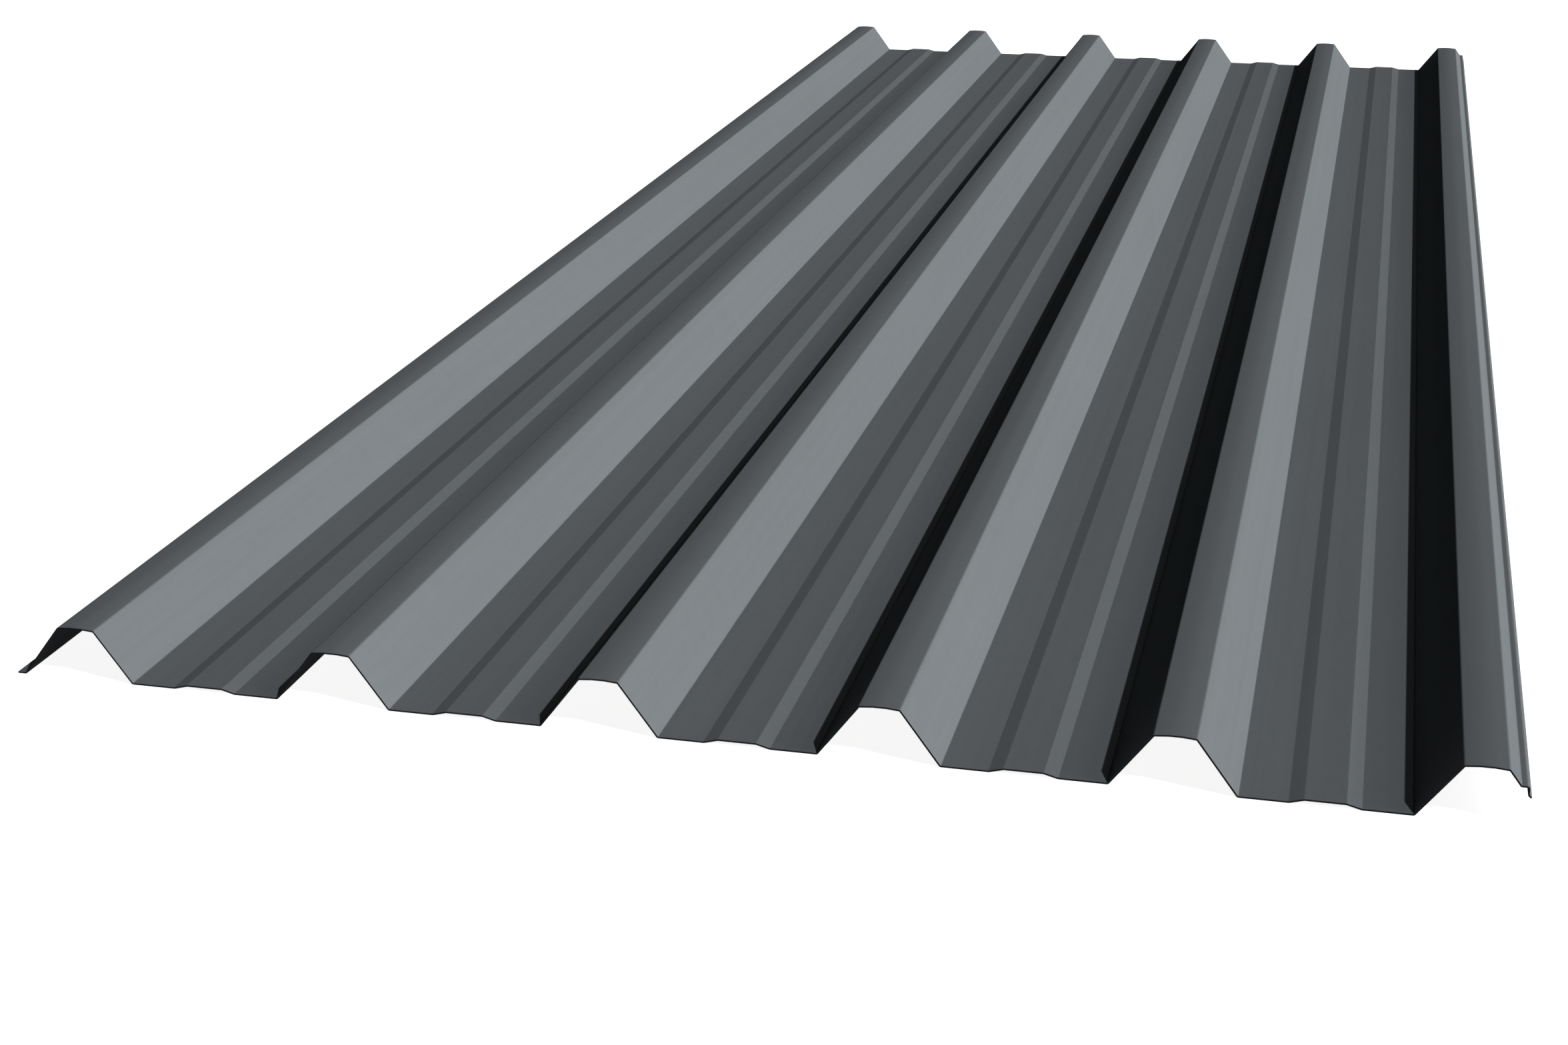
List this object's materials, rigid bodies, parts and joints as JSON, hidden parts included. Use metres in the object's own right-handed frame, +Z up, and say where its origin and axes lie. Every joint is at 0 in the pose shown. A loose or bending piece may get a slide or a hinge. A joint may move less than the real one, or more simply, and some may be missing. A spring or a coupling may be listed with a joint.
{
  "type": "trapezoidal profiled metal roofing sheet",
  "caption": "Long roll-formed roofing and cladding sheet in dark coated steel, with trapezoidal ribs, wide pans with a shallow stiffener, and lapping side edges.",
  "frame": {"origin": "middle of the sheet's outline in plan, at the level of the floor that the pans rest on", "axes": "+Y along the ribs and the length, +X across the sheet from the underlap edge, which has the flat lip, to the overlap edge, which has the drip leg, and +Z up, the side that the ribs stand out on"},
  "size_m": [1.0788, 3, 0.0404],
  "materials": {
    "coated_steel": "satin anthracite grey coil coating on both faces"
  },
  "bodies": {
    "root": {"profiled_sheet": "coated_steel"}
  },
  "joints": []
}
